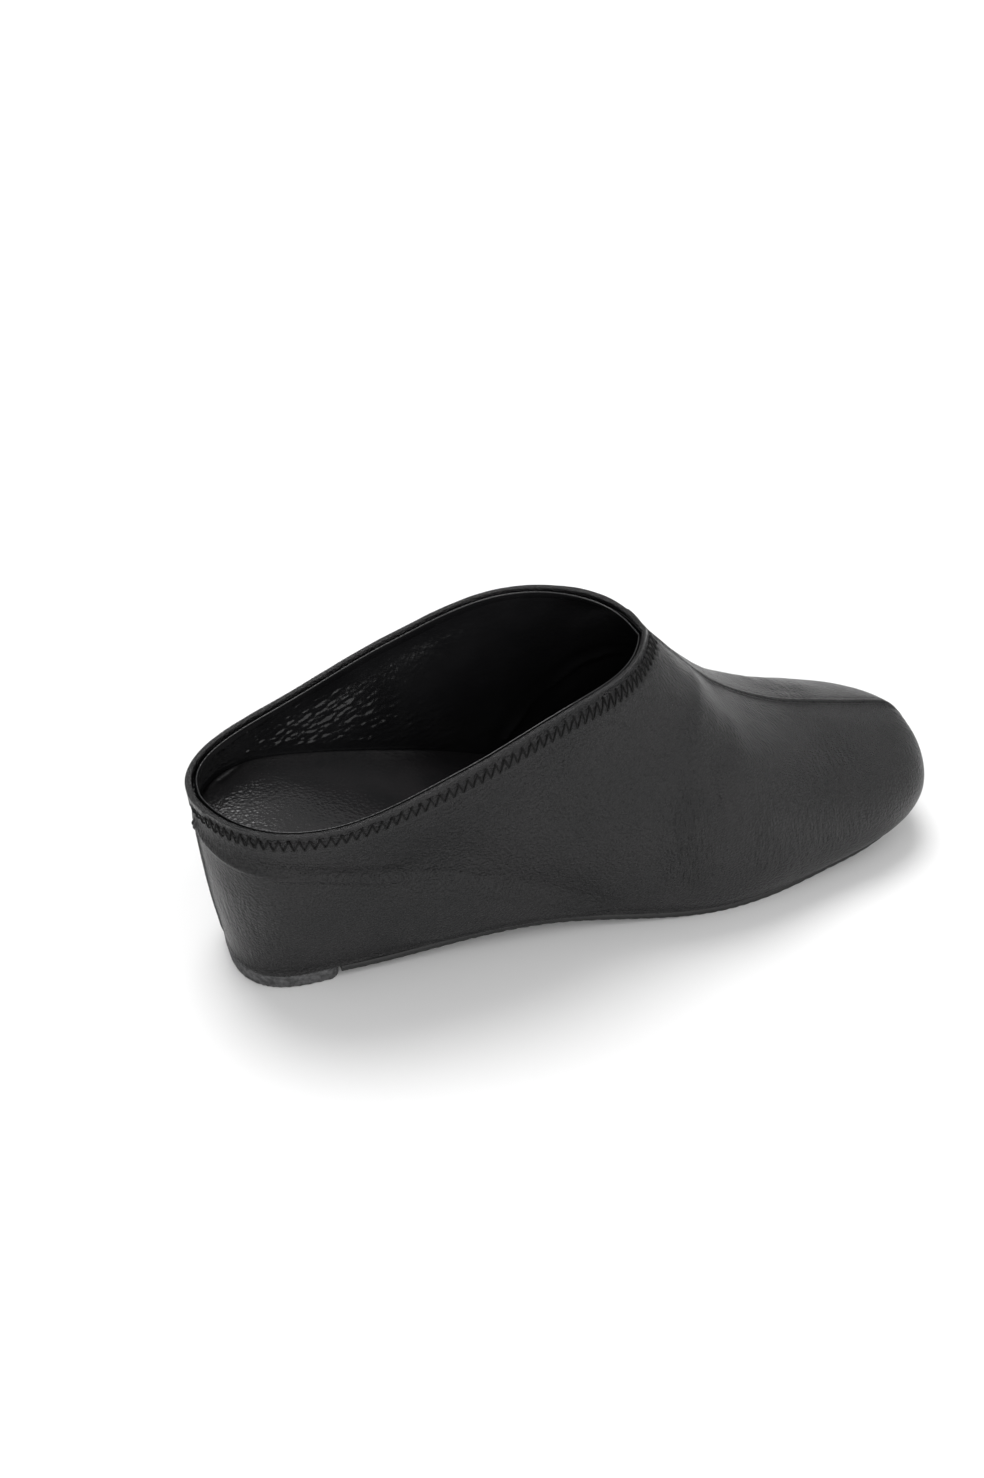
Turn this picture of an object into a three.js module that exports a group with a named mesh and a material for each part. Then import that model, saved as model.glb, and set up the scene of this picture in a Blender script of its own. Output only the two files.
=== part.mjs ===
// A leather clog on a covered wedge heel, for the right foot.
// +X runs from heel to toe, +Y to the inner (medial) side and +Z up. Lengths are in millimetres.
// The upper is two halves of soft leather, joined up the back and along the middle of the vamp.
// It covers the wedge as well, so it reaches from the collar down to the outsole in one skin.
import * as THREE from "three";
import { mergeVertices } from "three/addons/utils/BufferGeometryUtils.js";

// Driving sizes of the last.
const length = 252;
const ballWidth = 91;
const backHeight = 65;
const throatHeight = 87.5;
const toeHeight = 37.5;
const seatHeight = 52;
const collarWidth = 78.4;
const toeSpring = 8.7;
const archRise = 3.7;

// Thicknesses of the materials, and the clearance between two pieces that touch.
const wall = 1.6;
const insoleThickness = 3.4;
const outsoleThickness = 2.4;
const heelPieceThickness = 5;
const bindingHeight = 3;
const bindingWidth = 2.8;
const gap = 0.3;

// Places along the shoe, as shares of its length.
const heelBreastAt = 0.142;
const flatFrom = 0.64;
const flatTo = 0.72;
const throatAt = 0.59;
const toeTopAt = 0.963;
const wedgeEndAt = 0.62;

// The ends of the outline: length of the rounding as a share of the shoe, and how square it is.
const heelCap = { length: 0.104, power: 2.1 };
const soleHeelCap = { length: 0.104, power: 2.7 };
const toeCap = { length: 0.173, power: 2.75 };

// How far the sole's edge stays behind the upper's outermost line at either end.
const soleSetback = { heel: 5, toe: 4.7 };

// The toe spring is a power of the way from the flat to the toe.
const toeSpringPower = 1.8;

// The widest line climbs with the side only up to this far above the back's height.
const shoulderAboveBack = 6;

// How far the vamp's middle seam drifts to the inner side, as a share of the ball width.
const seamDrift = 0.038;

// Half-widths of the body at its widest line, the tuck from there to the sole's edge, and the sideways
// place of the middle line, all as shares of the ball width. The middle line swings to the inner side.
const sections = [
  { at: 0.0, outer: 0.33, inner: 0.325, tuck: 0.063, middle: 0.0 },
  { at: 0.15, outer: 0.338, inner: 0.325, tuck: 0.06, middle: 0.004 },
  { at: 0.4, outer: 0.417, inner: 0.352, tuck: 0.035, middle: 0.067 },
  { at: 0.66, outer: 0.523, inner: 0.475, tuck: 0.047, middle: 0.059 },
  { at: 0.86, outer: 0.415, inner: 0.461, tuck: 0.052, middle: 0.021 },
  { at: 1.0, outer: 0.355, inner: 0.431, tuck: 0.052, middle: 0.0 },
];

// Height of the widest line as a share of the side's height, and how square the side is above it.
const sideShape = [
  { at: 0.0, girth: 0.81, square: 0.3 },
  { at: 0.25, girth: 0.5, square: 0.3 },
  { at: 0.5, girth: 0.37, square: 0.4 },
  { at: 0.7, girth: 0.33, square: 0.55 },
  { at: 1.0, girth: 0.33, square: 0.55 },
];

// The rim from the back to the throat, as shares of the rise from back height to throat height.
const rimRise = [
  { at: 0.0, rise: 0.0 },
  { at: 0.25, rise: 0.154 },
  { at: 0.5, rise: 0.6 },
  { at: 0.75, rise: 1.04 },
  { at: 1.0, rise: 1.0 },
];

// How round the opening is from the back to the throat, as the power of a sine on either half.
// A power of 1 is an oval, a lower one is squarer, and a higher one is slanted, as on the outer half.
const rimRoundness = [
  { at: 0.0, outer: 1.25, inner: 0.78 },
  { at: 0.25, outer: 0.69, inner: 0.82 },
  { at: 0.5, outer: 0.61, inner: 0.61 },
  { at: 0.75, outer: 1.1, inner: 0.45 },
  { at: 1.0, outer: 1.6, inner: 0.62 },
];

// The vamp's middle seam from the throat to the top of the toe, as shares of the drop between them.
const seamDrop = [
  { at: 0.0, drop: 0.0 },
  { at: 0.25, drop: 0.486 },
  { at: 0.5, drop: 0.758 },
  { at: 0.75, drop: 0.894 },
  { at: 1.0, drop: 1.0 },
];

// The bed that the foot stands on, as shares of the seat's height above the forefoot.
const bedRise = [
  { at: 0.0, rise: 1.0 },
  { at: 0.1, rise: 0.99 },
  { at: 0.2, rise: 0.88 },
  { at: 0.3, rise: 0.67 },
  { at: 0.42, rise: 0.37 },
  { at: 0.55, rise: 0.1 },
  { at: 0.64, rise: 0.0 },
  { at: 1.0, rise: 0.0 },
];

// A smooth function through one column of a table: cubic pieces with slopes from the neighbouring rows.
function columnOf(rows, column) {
  const last = rows.length - 1;
  const slope = rows.map((row, i) => {
    const before = rows[Math.max(i - 1, 0)];
    const after = rows[Math.min(i + 1, last)];
    return (after[column] - before[column]) / (after.at - before.at);
  });
  return (at) => {
    let i = 0;
    while (i < last - 1 && at > rows[i + 1].at) {
      i += 1;
    }
    const step = rows[i + 1].at - rows[i].at;
    const u = THREE.MathUtils.clamp((at - rows[i].at) / step, 0, 1);
    const start = (1 + 2 * u) * (1 - u) ** 2 * rows[i][column] + u * (1 - u) ** 2 * step * slope[i];
    const end = u * u * (3 - 2 * u) * rows[i + 1][column] + u * u * (u - 1) * step * slope[i + 1];
    return start + end;
  };
}

const outerHalf = columnOf(sections, "outer");
const innerHalf = columnOf(sections, "inner");
const tuckShare = columnOf(sections, "tuck");
const middleShare = columnOf(sections, "middle");
const girthShare = columnOf(sideShape, "girth");
const squareness = columnOf(sideShape, "square");
const rimRiseShare = columnOf(rimRise, "rise");
const outerRoundness = columnOf(rimRoundness, "outer");
const innerRoundness = columnOf(rimRoundness, "inner");
const seamDropShare = columnOf(seamDrop, "drop");
const bedRiseShare = columnOf(bedRise, "rise");

const { clamp, lerp, smoothstep } = THREE.MathUtils;
const upward = new THREE.Vector3(0, 0, 1);
const outerSide = -1;
const innerSide = 1;

// The rounding of an end: 0 at the very end and 1 past the cap.
function roundEnd(distance, cap) {
  const left = 1 - clamp(distance / cap.length, 0, 1);
  return (1 - left ** cap.power) ** (1 / cap.power);
}

// The sideways place of the shoe's middle line.
function middleLine(x) {
  return middleShare(x / length) * ballWidth;
}

// The underside of the outsole: a step behind the heel piece's breast, the arch, the flat, the toe spring.
function groundLine(x) {
  const at = x / length;
  const step = heelPieceThickness - outsoleThickness;
  if (at < flatFrom) {
    const u = clamp((at - heelBreastAt) / (flatFrom - heelBreastAt), 0, 1);
    return lerp(step, 0, u) + archRise * Math.sin(Math.PI * u) ** 2;
  }
  const u = Math.max(at - flatTo, 0) / (1 - flatTo);
  return toeSpring * u ** toeSpringPower;
}

// The height at which the leather ends on the outsole, and the foot bed above it.
function featherHeight(x) {
  return groundLine(x) + outsoleThickness + gap;
}

function bedHeight(x) {
  const low = featherHeight(x) + insoleThickness;
  const seatRise = seatHeight - featherHeight(0) - insoleThickness;
  return low + seatRise * Math.max(bedRiseShare(x / length), 0);
}

// The outline from the heel (t = 0) to the toe (t = 1), at the sole's edge or at the widest line.
function outlinePoint(t, side, level) {
  const at = (1 - Math.cos(Math.PI * t)) / 2;
  const onSole = level === "sole";
  const heelX = onSole ? soleSetback.heel : 0;
  const toeX = onSole ? length - soleSetback.toe : length;
  const share = (side === outerSide ? outerHalf(at) : innerHalf(at)) - (onSole ? tuckShare(at) : 0);
  const heelRounding = roundEnd(at, onSole ? soleHeelCap : heelCap);
  const half = share * ballWidth * heelRounding * roundEnd(1 - at, toeCap);
  return new THREE.Vector2(lerp(heelX, toeX, at), side * half + middleLine(at * length));
}

// The rim is an oval that leans forward. The angle runs from 0 at the back to pi at the throat.
function rimPoint(angle, side) {
  const share = (1 - Math.cos(angle)) / 2;
  const x = share * throatAt * length;
  const roundness = (side === outerSide ? outerRoundness : innerRoundness)(angle / Math.PI);
  const half = (collarWidth / 2) * Math.sin(angle) ** roundness;
  const z = lerp(backHeight, throatHeight, rimRiseShare(share));
  return new THREE.Vector3(x, side * half + middleLine(x), z);
}

// At the rim this direction points out of the material, along it: up at the sides and up the vamp in front.
const throatLean = new THREE.Vector3(-0.62, 0, 0.78).normalize();

function rimDirection(angle) {
  const front = smoothstep(angle / Math.PI, 0.45, 1);
  return upward.clone().lerp(throatLean, front).normalize();
}

// The upper's own edge lies below the binding.
const edgeDrop = bindingHeight + gap;

function edgePoint(angle, side) {
  return rimPoint(angle, side).addScaledVector(rimDirection(angle), -edgeDrop);
}

const throatEdge = edgePoint(Math.PI, innerSide);

function seamPoint(share) {
  const x = lerp(throatEdge.x, toeTopAt * length, share);
  const z = lerp(throatEdge.z, toeHeight, seamDropShare(share));
  const drift = seamDrift * ballWidth * smoothstep(share, 0, 1);
  return new THREE.Vector3(x, middleLine(x) + drift, z);
}

// Ribs run up each half from the sole: to the collar's edge first, and to the vamp's seam further on.
// The rib to the throat starts a little ahead of it, and ribs crowd towards the throat by this spread.
const collarRibs = 22;
const vampRibs = 16;
const skinRows = 14;
const throatShare = throatAt + 0.03;
const ribSpread = 0.4;
const tOf = (share) => Math.acos(1 - 2 * share) / Math.PI;
const throatT = tOf(throatShare);

function ribList() {
  const collar = Array.from({ length: collarRibs + 1 }, (_, i) => {
    const angle = (Math.PI * i) / collarRibs;
    const t = (throatT * Math.sin(ribSpread * angle)) / Math.sin(ribSpread * Math.PI);
    const flat = smoothstep(i / collarRibs, 0.25, 0.95);
    return { t, angle, flat, topAt: (side) => edgePoint(angle, side) };
  });
  const vamp = Array.from({ length: vampRibs }, (_, i) => {
    const t = lerp(throatT, 1, (i + 1) / vampRibs);
    const share = ((1 - Math.cos(Math.PI * t)) / 2 - throatShare) / (1 - throatShare);
    return { t, flat: 1, topAt: () => seamPoint(share) };
  });
  return [...collar, ...vamp];
}

const ribs = ribList();

// How far a rib's two curves are pulled, as shares of their own rise and run. Each pair is for a
// straight side and a rounded one: the side rounds under towards the toe, and over towards the vamp.
const pull = {
  lowOut: [0.35, 0.7],
  lowUp: [0.3, 0.15],
  underGirth: 0.4,
  highOut: [0.25, 0.55],
  highDown: [0.4, 0.06],
};
const roundsUnder = { from: 0.3, to: 0.7 };

// A rib is two cubic curves: from the sole's edge out to the widest line, and from there in to the top.
function ribCurves(rib, side) {
  const sole = outlinePoint(rib.t, side, "sole");
  const wide = outlinePoint(rib.t, side, "side");
  const at = wide.x / length;
  const bottom = new THREE.Vector3(sole.x, sole.y, featherHeight(sole.x));
  const top = rib.topAt(side);
  const reach = Math.min(top.z, backHeight + shoulderAboveBack) - bottom.z;
  const girth = new THREE.Vector3(wide.x, wide.y, bottom.z + reach * girthShare(at));
  const lowerRise = girth.z - bottom.z;
  const lowerOut = girth.clone().sub(bottom).setZ(0);
  const round = smoothstep(at, roundsUnder.from, roundsUnder.to);
  const low = bottom.clone().addScaledVector(lowerOut, lerp(...pull.lowOut, round));
  low.addScaledVector(upward, lowerRise * lerp(...pull.lowUp, round));
  const under = girth.clone().addScaledVector(upward, -pull.underGirth * lowerRise);
  const upperRise = top.z - girth.z;
  const upperOut = girth.clone().sub(top).setZ(0);
  const over = girth.clone().addScaledVector(upward, upperRise * squareness(at));
  const high = top.clone().addScaledVector(upperOut, lerp(...pull.highOut, rib.flat));
  high.addScaledVector(upward, -upperRise * lerp(...pull.highDown, rib.flat));
  const lower = new THREE.CubicBezierCurve3(bottom, low, under, girth);
  const upper = new THREE.CubicBezierCurve3(girth, over, high, top);
  return [lower, upper];
}

function ribPoints(rib, side) {
  const [lower, upper] = ribCurves(rib, side);
  const half = skinRows / 2;
  return [...lower.getPoints(half), ...upper.getPoints(half).slice(1)];
}

const outerSkin = {
  [outerSide]: ribs.map((rib) => ribPoints(rib, outerSide)),
  [innerSide]: ribs.map((rib) => ribPoints(rib, innerSide)),
};

// Faces are gathered as corner points. Strips join two rows, and loops join two closed rows.
function addTriangle(faces, a, b, c) {
  const flat = a.distanceTo(b) < 1e-4 || b.distanceTo(c) < 1e-4 || c.distanceTo(a) < 1e-4;
  if (!flat) {
    faces.push([a, b, c]);
  }
}

function addStrip(faces, rowA, rowB, flip = false) {
  for (let i = 0; i < rowA.length - 1; i += 1) {
    const [a, b, c, d] = [rowA[i], rowA[i + 1], rowB[i + 1], rowB[i]];
    if (flip) {
      addTriangle(faces, a, d, c);
      addTriangle(faces, a, c, b);
    } else {
      addTriangle(faces, a, b, c);
      addTriangle(faces, a, c, d);
    }
  }
}

function addFan(faces, loop, flip) {
  const centre = loop.reduce((sum, p) => sum.add(p), new THREE.Vector3()).divideScalar(loop.length);
  loop.forEach((p, i) => {
    const next = loop[(i + 1) % loop.length];
    addTriangle(faces, centre, flip ? next : p, flip ? p : next);
  });
}

function geometryOf(faces) {
  const positions = faces.flatMap((corners) => corners.flatMap((p) => p.toArray()));
  const geometry = new THREE.BufferGeometry();
  geometry.setAttribute("position", new THREE.Float32BufferAttribute(positions, 3));
  const merged = mergeVertices(geometry, 1e-4);
  merged.computeVertexNormals();
  return merged;
}

// A solid carried through closed loops: each runs inward along the bottom and back along the top.
function loft(loops) {
  const faces = [];
  for (let i = 0; i < loops.length - 1; i += 1) {
    addStrip(faces, [...loops[i], loops[i][0]], [...loops[i + 1], loops[i + 1][0]]);
  }
  const isPinched = (loop) => loop.every((p) => Math.abs(p.y - loop[0].y) < 1e-3);
  if (!isPinched(loops[0])) {
    addFan(faces, loops[0], true);
  }
  if (!isPinched(loops[loops.length - 1])) {
    addFan(faces, loops[loops.length - 1], false);
  }
  return geometryOf(faces);
}

// The upper's skins: strips between neighbouring ribs, on both halves.
function skinFaces(skin) {
  const faces = [];
  for (const side of [outerSide, innerSide]) {
    for (let i = 0; i < ribs.length - 1; i += 1) {
      addStrip(faces, skin[side][i], skin[side][i + 1], side === outerSide);
    }
  }
  return faces;
}

// Where the inside of the wall lies: each point moves in by the wall, square to the skin around it.
function insideOf(skin) {
  const keyOf = (p) => p.toArray().map((value) => value.toFixed(2)).join(" ");
  const normals = new Map();
  for (const corners of skinFaces(skin)) {
    const [a, b, c] = corners;
    const normal = b.clone().sub(a).cross(c.clone().sub(a));
    for (const p of corners) {
      const key = keyOf(p);
      normals.set(key, (normals.get(key) ?? new THREE.Vector3()).add(normal));
    }
  }
  const moveIn = (p, row, rib) => {
    const normal = normals.get(keyOf(p)).clone();
    if (row === 0) {
      normal.setZ(0);
    }
    if (row === skinRows && rib.angle !== undefined) {
      normal.projectOnPlane(rimDirection(rib.angle));
    }
    return p.clone().addScaledVector(normal.normalize(), -wall);
  };
  const inside = (side) => skin[side].map((points, i) => points.map((p, row) => moveIn(p, row, ribs[i])));
  return { [outerSide]: inside(outerSide), [innerSide]: inside(innerSide) };
}

const lining = insideOf(outerSkin);

function upperGeometry() {
  const faces = skinFaces(outerSkin);
  for (const [a, b, c] of skinFaces(lining)) {
    faces.push([a, c, b]);
  }
  for (const side of [outerSide, innerSide]) {
    const flip = side === outerSide;
    const rowOf = (skin, row, count) => skin[side].slice(0, count).map((rib) => rib[row]);
    addStrip(faces, rowOf(outerSkin, 0, ribs.length), rowOf(lining, 0, ribs.length), flip);
    const collarRow = (skin) => rowOf(skin, skinRows, collarRibs + 1);
    addStrip(faces, collarRow(lining), collarRow(outerSkin), flip);
  }
  return geometryOf(faces);
}

// A rib of the lining at any t: the ribs on either side of it, mixed.
function liningRib(t, side) {
  let i = 0;
  while (i < ribs.length - 2 && ribs[i + 1].t < t) {
    i += 1;
  }
  const share = clamp((t - ribs[i].t) / (ribs[i + 1].t - ribs[i].t), 0, 1);
  return lining[side][i].map((p, row) => p.clone().lerp(lining[side][i + 1][row], share));
}

// The point where such a rib crosses a height, moved off the wall by the clearance. It moves towards
// a spine along the middle line, between these shares of the length. Where the wall leans, it moves
// further, and the lean counts no more than at the least rise.
const spine = { from: 0.14, to: 0.84 };
const wallClearance = 1.5 * gap;
const leastRise = 0.3;

function insideAt(t, side, heightAt) {
  const rib = liningRib(t, side);
  let row = 0;
  while (row < skinRows - 1 && rib[row + 1].z < heightAt(rib[row + 1].x)) {
    row += 1;
  }
  const below = heightAt(rib[row].x) - rib[row].z;
  const above = heightAt(rib[row + 1].x) - rib[row + 1].z;
  const point = rib[row].clone().lerp(rib[row + 1], clamp(below / (below - above), 0, 1));
  const spineX = clamp(point.x, spine.from * length, spine.to * length);
  const inward = new THREE.Vector3(spineX, middleLine(spineX), 0).sub(point).setZ(0).normalize();
  const rise = rib[row + 1].clone().sub(rib[row]).normalize().z;
  point.addScaledVector(inward, wallClearance / Math.max(rise, leastRise));
  return point.setZ(heightAt(point.x));
}

// The bed is cupped: it rises towards its edges, most at the heel.
const cupReach = 17;
const cupHeights = { heel: 3, toe: 1 };

function cupRise(x, fromEdge) {
  const height = lerp(cupHeights.heel, cupHeights.toe, smoothstep(x / length, 0.2, 0.6));
  return height * Math.max(1 - fromEdge / cupReach, 0) ** 2;
}

// One row of points across the shoe, between two edge points, at heights that follow the cup.
const columns = 8;

function rowAcross(edgeA, edgeB, heightAt) {
  const width = Math.abs(edgeA.y - edgeB.y);
  return Array.from({ length: columns + 1 }, (_, i) => {
    const p = edgeA.clone().lerp(edgeB, i / columns);
    const fromEdge = (Math.min(i, columns - i) / columns) * width;
    return p.setZ(heightAt(p.x, fromEdge));
  });
}

const bedTop = (x, fromEdge) => bedHeight(x) + cupRise(x, fromEdge);
const bedUnderside = (x, fromEdge) => bedTop(x, fromEdge) - insoleThickness;
const wedgeTop = (x, fromEdge) => bedUnderside(x, fromEdge) - gap;

// A loop across the shoe between two heights, with the given number of levels up its sides.
function slabLoop(t, bottomAt, topAt, levels) {
  const heightAt = (level) => (x) => lerp(bottomAt(x, 0), topAt(x, 0), level / levels);
  const edgeAt = (side, level) => insideAt(t, side, heightAt(level));
  const bottom = rowAcross(edgeAt(outerSide, 0), edgeAt(innerSide, 0), bottomAt);
  const top = rowAcross(edgeAt(innerSide, levels), edgeAt(outerSide, levels), topAt);
  const between = Array.from({ length: levels - 1 }, (_, i) => i + 1);
  const up = between.map((level) => edgeAt(innerSide, level));
  const down = between.map((level) => edgeAt(outerSide, level)).reverse();
  return [...bottom, ...up, ...top, ...down];
}

function insoleGeometry() {
  return loft(ribs.map((rib) => slabLoop(rib.t, bedUnderside, bedTop, 1)));
}

const wedgeLevels = 5;

function wedgeGeometry() {
  const end = tOf(wedgeEndAt);
  const ts = [...ribs.map((rib) => rib.t).filter((t) => t < end), end];
  return loft(ts.map((t) => slabLoop(t, featherHeight, wedgeTop, wedgeLevels)));
}

// A level plate with the sole's outline, from one place along the shoe to another.
const soleColumns = 4;

function soleLoop(t, levels) {
  const pointAt = (side, level) => {
    const edge = outlinePoint(t, side, "sole");
    const inward = Math.sign(middleLine(edge.x) - edge.y);
    return new THREE.Vector3(edge.x, edge.y + inward * level.inset(edge.x, edge.y), level.height(edge.x));
  };
  const across = (level, from, to) => {
    const [a, b] = [pointAt(from, level), pointAt(to, level)];
    return Array.from({ length: soleColumns + 1 }, (_, i) => a.clone().lerp(b, i / soleColumns));
  };
  const middle = levels.slice(1, -1);
  const up = middle.map((level) => pointAt(innerSide, level));
  const down = middle.map((level) => pointAt(outerSide, level)).reverse();
  const bottom = across(levels[0], outerSide, innerSide);
  const top = across(levels.at(-1), innerSide, outerSide);
  return [...bottom, ...up, ...top, ...down];
}

const soleT = (x) => tOf((x - soleSetback.heel) / (length - soleSetback.heel - soleSetback.toe));
const breastX = heelBreastAt * length;

const outsoleSteps = 30;

function outsoleGeometry() {
  const from = soleT(breastX + gap);
  const levels = [
    { height: groundLine, inset: () => 0 },
    { height: (x) => groundLine(x) + outsoleThickness, inset: () => 0 },
  ];
  const ts = Array.from({ length: outsoleSteps + 1 }, (_, i) => lerp(from, 1, i / outsoleSteps));
  return loft(ts.map((t) => soleLoop(t, levels)));
}

// The heel piece: a D with a straight breast, rounded corners and a broken lower edge. Its loops are
// even up to the corners, and there they crowd towards the breast.
const breastRadius = 4;
const edgeBreak = 0.6;
const heelSteps = 14;
const cornerSteps = [0.25, 0.5, 0.7, 0.85, 0.95, 1];

function heelPieceGeometry() {
  const corner = { length: breastRadius / length, power: 2 };
  const atCorner = (x) => breastRadius * (1 - roundEnd((breastX - x) / length, corner));
  const insetBy = (extra) => (x, y) => Math.min(atCorner(x) + extra, Math.abs(y - middleLine(x)));
  const levels = [
    { height: () => 0, inset: insetBy(edgeBreak) },
    { height: () => edgeBreak, inset: insetBy(0) },
    { height: () => heelPieceThickness, inset: insetBy(0) },
  ];
  const straight = soleT(breastX - breastRadius);
  const even = Array.from({ length: heelSteps + 1 }, (_, i) => (straight * i) / heelSteps);
  const rounded = cornerSteps.map((share) => soleT(breastX - breastRadius * (1 - share)));
  return loft([...even, ...rounded].map((t) => soleLoop(t, levels)));
}

// The binding: a folded band of leather along the rim, carried once round the collar. Its section is
// a rounded rectangle: powers of a sine and a cosine.
const bindingCorners = 10;
const bindingSquareness = 0.7;

function bindingGeometry() {
  const angles = Array.from({ length: collarRibs + 1 }, (_, i) => (Math.PI * i) / collarRibs);
  const along = angles.map((angle) => ({ angle, side: outerSide }));
  const back = angles.slice(1, -1).reverse().map((angle) => ({ angle, side: innerSide }));
  const ring = [...along, ...back];
  const points = ring.map(({ angle, side }) => rimPoint(angle, side));
  const squared = (value) => Math.sign(value) * Math.abs(value) ** bindingSquareness;
  const loops = ring.map(({ angle }, i) => {
    const next = points[(i + 1) % points.length];
    const previous = points[(i + points.length - 1) % points.length];
    const up = rimDirection(angle);
    const out = up.clone().cross(next.clone().sub(previous)).projectOnPlane(up).normalize().negate();
    const centre = points[i].clone().addScaledVector(up, -bindingHeight / 2);
    centre.addScaledVector(out, -(wall / 2));
    return Array.from({ length: bindingCorners }, (_, k) => {
      const a = (2 * Math.PI * k) / bindingCorners;
      const across = squared(Math.cos(a)) * (bindingWidth / 2);
      const rise = squared(Math.sin(a)) * (bindingHeight / 2);
      return centre.clone().addScaledVector(out, across).addScaledVector(up, rise);
    });
  });
  const faces = [];
  loops.forEach((loop, i) => {
    const next = loops[(i + 1) % loops.length];
    addStrip(faces, [...loop, loop[0]], [...next, next[0]], true);
  });
  return geometryOf(faces);
}

// The pieces, with the colours and surfaces of their materials.
const leather = new THREE.MeshStandardMaterial({ color: 0x33343a, roughness: 0.5 });
const foldedLeather = new THREE.MeshStandardMaterial({ color: 0x26272b, roughness: 0.45 });
const liningLeather = new THREE.MeshStandardMaterial({ color: 0x1b1b1d, roughness: 0.4 });
const foam = new THREE.MeshStandardMaterial({ color: 0x2c2c2c, roughness: 0.9 });
const rubber = new THREE.MeshStandardMaterial({ color: 0x242424, roughness: 0.8 });

const shoe = new THREE.Group();

function addPiece(name, geometry, material) {
  const mesh = new THREE.Mesh(geometry, material);
  mesh.name = name;
  shoe.add(mesh);
}

addPiece("upper", upperGeometry(), leather);
addPiece("collar_binding", bindingGeometry(), foldedLeather);
addPiece("insole", insoleGeometry(), liningLeather);
addPiece("wedge", wedgeGeometry(), foam);
addPiece("outsole", outsoleGeometry(), rubber);
addPiece("heel_top_piece", heelPieceGeometry(), rubber);

// The origin is under the middle of the shoe, on the ground.
const box = new THREE.Box3().setFromObject(shoe);
const centre = box.getCenter(new THREE.Vector3());
shoe.position.set(-centre.x, -centre.y, -box.min.z);

const clog = new THREE.Group();
clog.add(shoe);
clog.updateMatrixWorld(true);

export default clog;
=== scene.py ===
# %% [markdown]
# A soft leather clog on a covered wedge heel, for the right foot
#
# The shoe is a closed-heel slip-on of thin black leather. A maker cuts two halves, joins them up the
# back and along the middle of the vamp, folds a binding over the top edge and sews it down with a
# zigzag, glues a thin lining inside, draws everything over a wedge and cements a sheet sole and a heel
# piece under it. Each of these pieces is worked out here with numpy as a surface of two parameters,
# on the same last as the solids, but with a much finer grid, so that seams, folds and creases are
# real shape. Lengths are in millimetres until a mesh is made.

# %% The frame
import math

import bpy
import numpy as np
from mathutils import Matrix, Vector


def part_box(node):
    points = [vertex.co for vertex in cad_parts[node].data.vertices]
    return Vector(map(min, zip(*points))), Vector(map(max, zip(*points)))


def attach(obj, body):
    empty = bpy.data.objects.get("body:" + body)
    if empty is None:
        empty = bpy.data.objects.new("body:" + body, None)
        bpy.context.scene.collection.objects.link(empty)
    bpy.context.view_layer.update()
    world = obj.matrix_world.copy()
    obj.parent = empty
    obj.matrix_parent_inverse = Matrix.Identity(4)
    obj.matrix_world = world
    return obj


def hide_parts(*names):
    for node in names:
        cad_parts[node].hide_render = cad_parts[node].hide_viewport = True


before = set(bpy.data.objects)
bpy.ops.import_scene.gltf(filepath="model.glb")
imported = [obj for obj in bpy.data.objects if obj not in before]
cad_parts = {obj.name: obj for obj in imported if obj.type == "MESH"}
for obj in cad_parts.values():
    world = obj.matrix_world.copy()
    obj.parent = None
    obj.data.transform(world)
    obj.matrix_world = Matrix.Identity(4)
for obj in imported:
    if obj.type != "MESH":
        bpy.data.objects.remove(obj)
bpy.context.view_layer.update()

# %% [markdown]
# The last
#
# A last is the foot-shaped block that a shoe is drawn over. Its form could be sculpted, but then it
# would only nearly match the solids. Here it is the same few sizes and short tables as in the solids'
# source: half-widths, heights and shares along the length, with a smooth curve through each column.

# %% Sizes of the last and of the materials
length = 252.0
ball_width = 91.0
back_height = 65.0
throat_height = 87.5
toe_height = 37.5
seat_height = 52.0
collar_width = 78.4
toe_spring = 8.7
arch_rise = 3.7
wall = 1.6
insole_thickness = 3.4
outsole_thickness = 2.4
heel_piece_thickness = 5.0
binding_height = 3.0
gap = 0.3

heel_breast_at = 0.142
flat_from = 0.64
flat_to = 0.72
throat_at = 0.59
toe_top_at = 0.963
heel_cap = (0.104, 2.1)
sole_heel_cap = (0.104, 2.7)
toe_cap = (0.173, 2.75)
sole_setback_heel = 5.0
sole_setback_toe = 4.7
seam_drift = 0.038
OUTER, INNER = -1, 1


# %% Smooth curves through short tables
def through(places, values):
    """A smooth curve through a short table: cubic pieces, with slopes from the neighbouring rows."""
    places = np.asarray(places, float)
    values = np.asarray(values, float)
    last = len(places) - 1
    before = np.maximum(np.arange(last + 1) - 1, 0)
    after = np.minimum(np.arange(last + 1) + 1, last)
    slope = (values[after] - values[before]) / (places[after] - places[before])

    def curve(at):
        at = np.asarray(at, float)
        i = np.clip(np.searchsorted(places, at, side="right") - 1, 0, last - 1)
        step = places[i + 1] - places[i]
        u = np.clip((at - places[i]) / step, 0, 1)
        start = (1 + 2 * u) * (1 - u) ** 2 * values[i] + u * (1 - u) ** 2 * step * slope[i]
        end = u * u * (3 - 2 * u) * values[i + 1] + u * u * (u - 1) * step * slope[i + 1]
        return start + end

    return curve


def smooth(value, low, high):
    """0 below low, 1 above high and an S-shaped ramp between them."""
    u = np.clip((value - low) / (high - low), 0, 1)
    return u * u * (3 - 2 * u)


def mix(a, b, share):
    """a at share 0, b at share 1."""
    return a + (b - a) * share


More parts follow.
